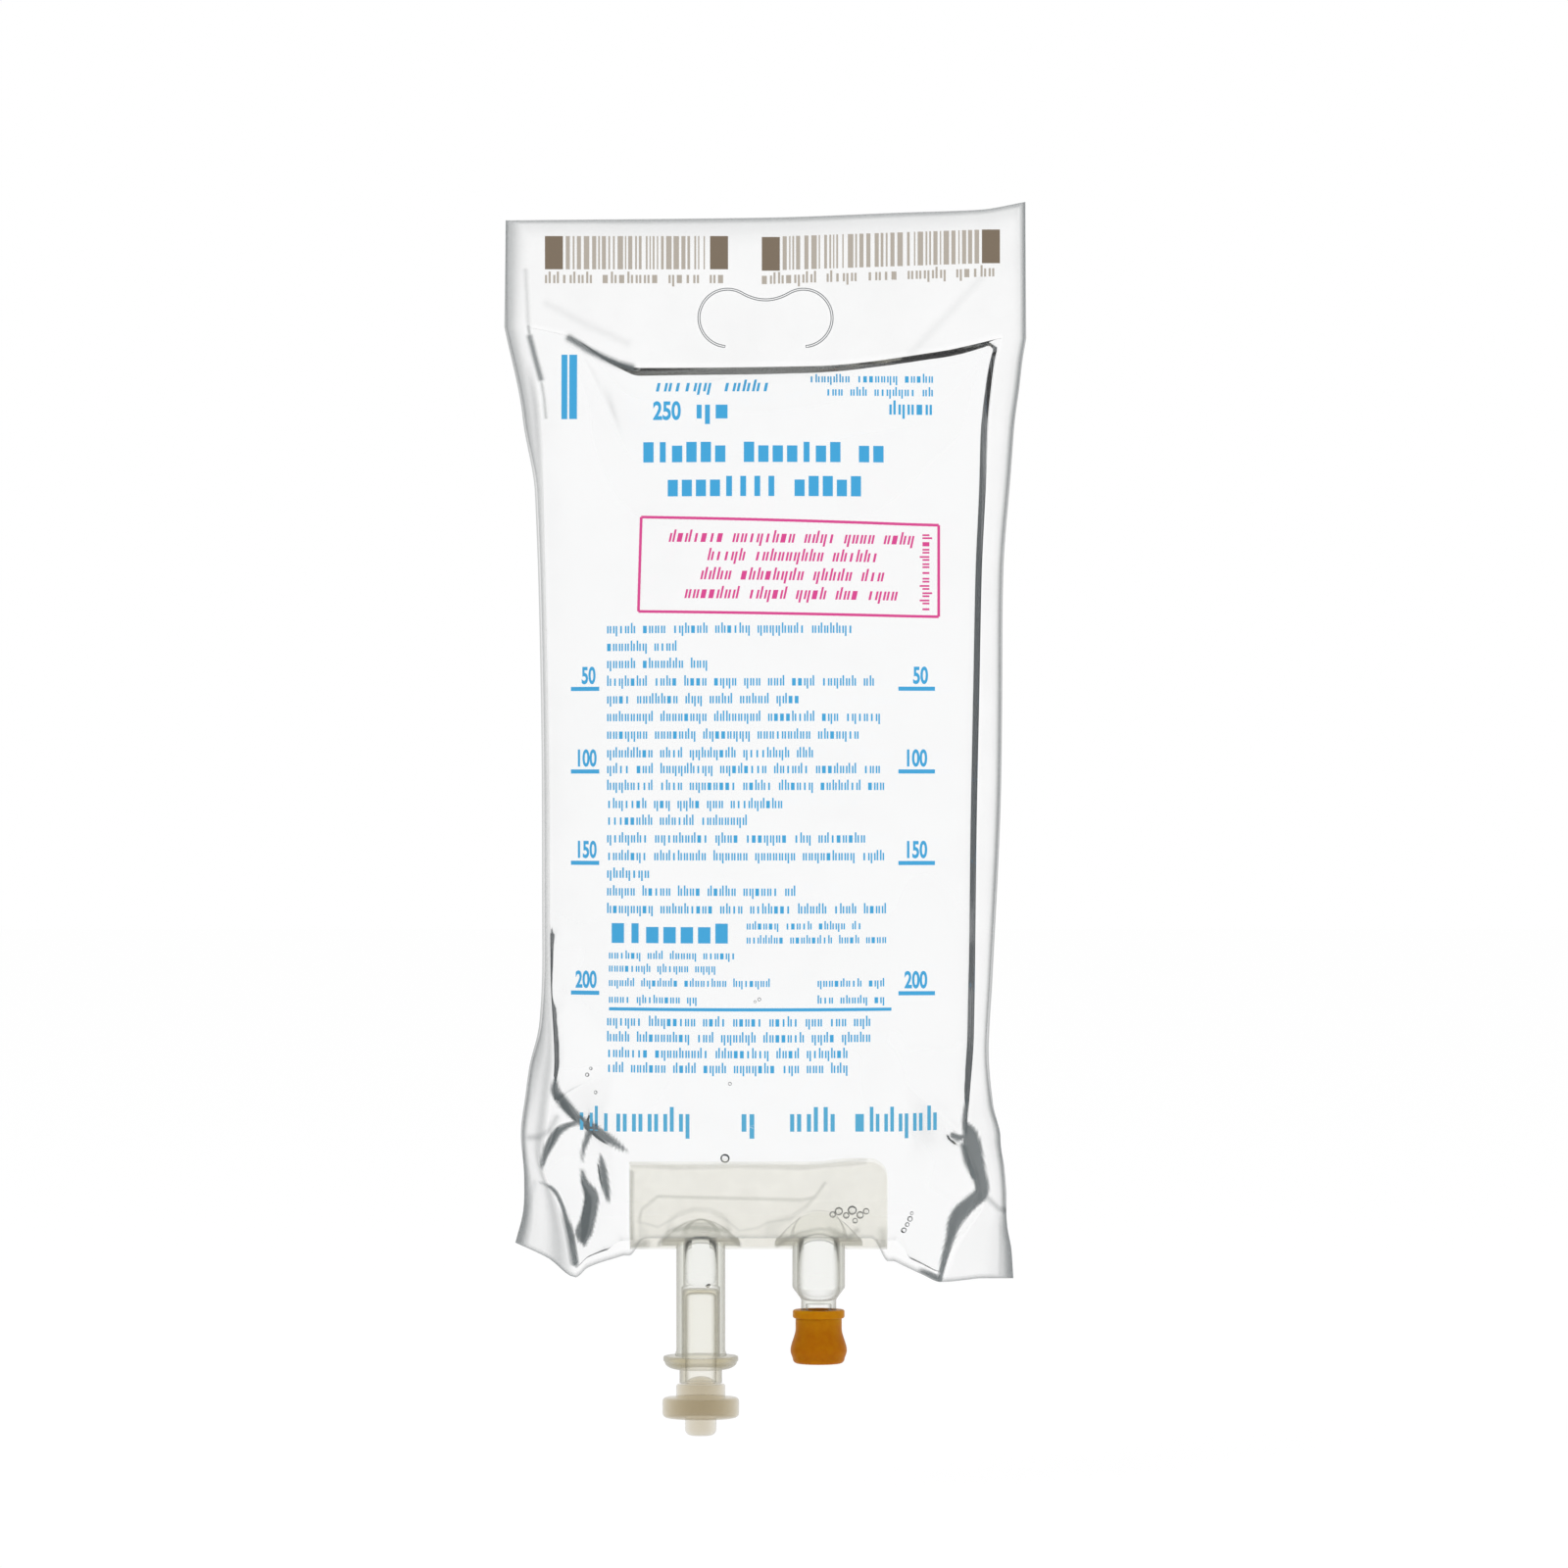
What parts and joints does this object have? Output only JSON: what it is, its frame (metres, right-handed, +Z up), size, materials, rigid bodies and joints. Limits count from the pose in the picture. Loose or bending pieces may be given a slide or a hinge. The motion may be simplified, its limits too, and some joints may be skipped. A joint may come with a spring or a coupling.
{
  "type": "iv fluid bag",
  "caption": "Clear flat pouch of infusion fluid with a hanger slit, printed graduations, a spike port closed by a pull-off cap and a medication port with an amber rubber stopper.",
  "frame": {"origin": "the dip in the top of the hanger slit, on the pouch's middle line, where the pole's hook bears", "axes": "+Z up along the hanging pouch, +X to the right across it as its printed front is seen, +Y through its thickness from the printed front to the back"},
  "size_m": [0.1132, 0.0312, 0.2668],
  "materials": {
    "clear_film": "clear glossy flexible film, with printing on the front",
    "milky_film": "milky translucent weldable film",
    "liquid": "clear water-like solution",
    "port_plastic": "translucent moulded plastic, slightly warm",
    "cap_plastic": "milky beige moulded plastic",
    "amber_rubber": "amber translucent latex rubber"
  },
  "bodies": {
    "bag": {"front_film": "clear_film", "back_film": "clear_film", "port_film": "milky_film", "solution": "liquid", "set_port": "port_plastic", "spike_sleeve": "port_plastic", "medication_port": "port_plastic", "stopper": "amber_rubber"},
    "cap": {"pull_cap": "cap_plastic"}
  },
  "joints": [
    {"name": "cap_pull", "type": "slide", "parent": "bag", "child": "cap", "axis": [0, 0, -1], "range_m": [0, 0.03]}
  ]
}
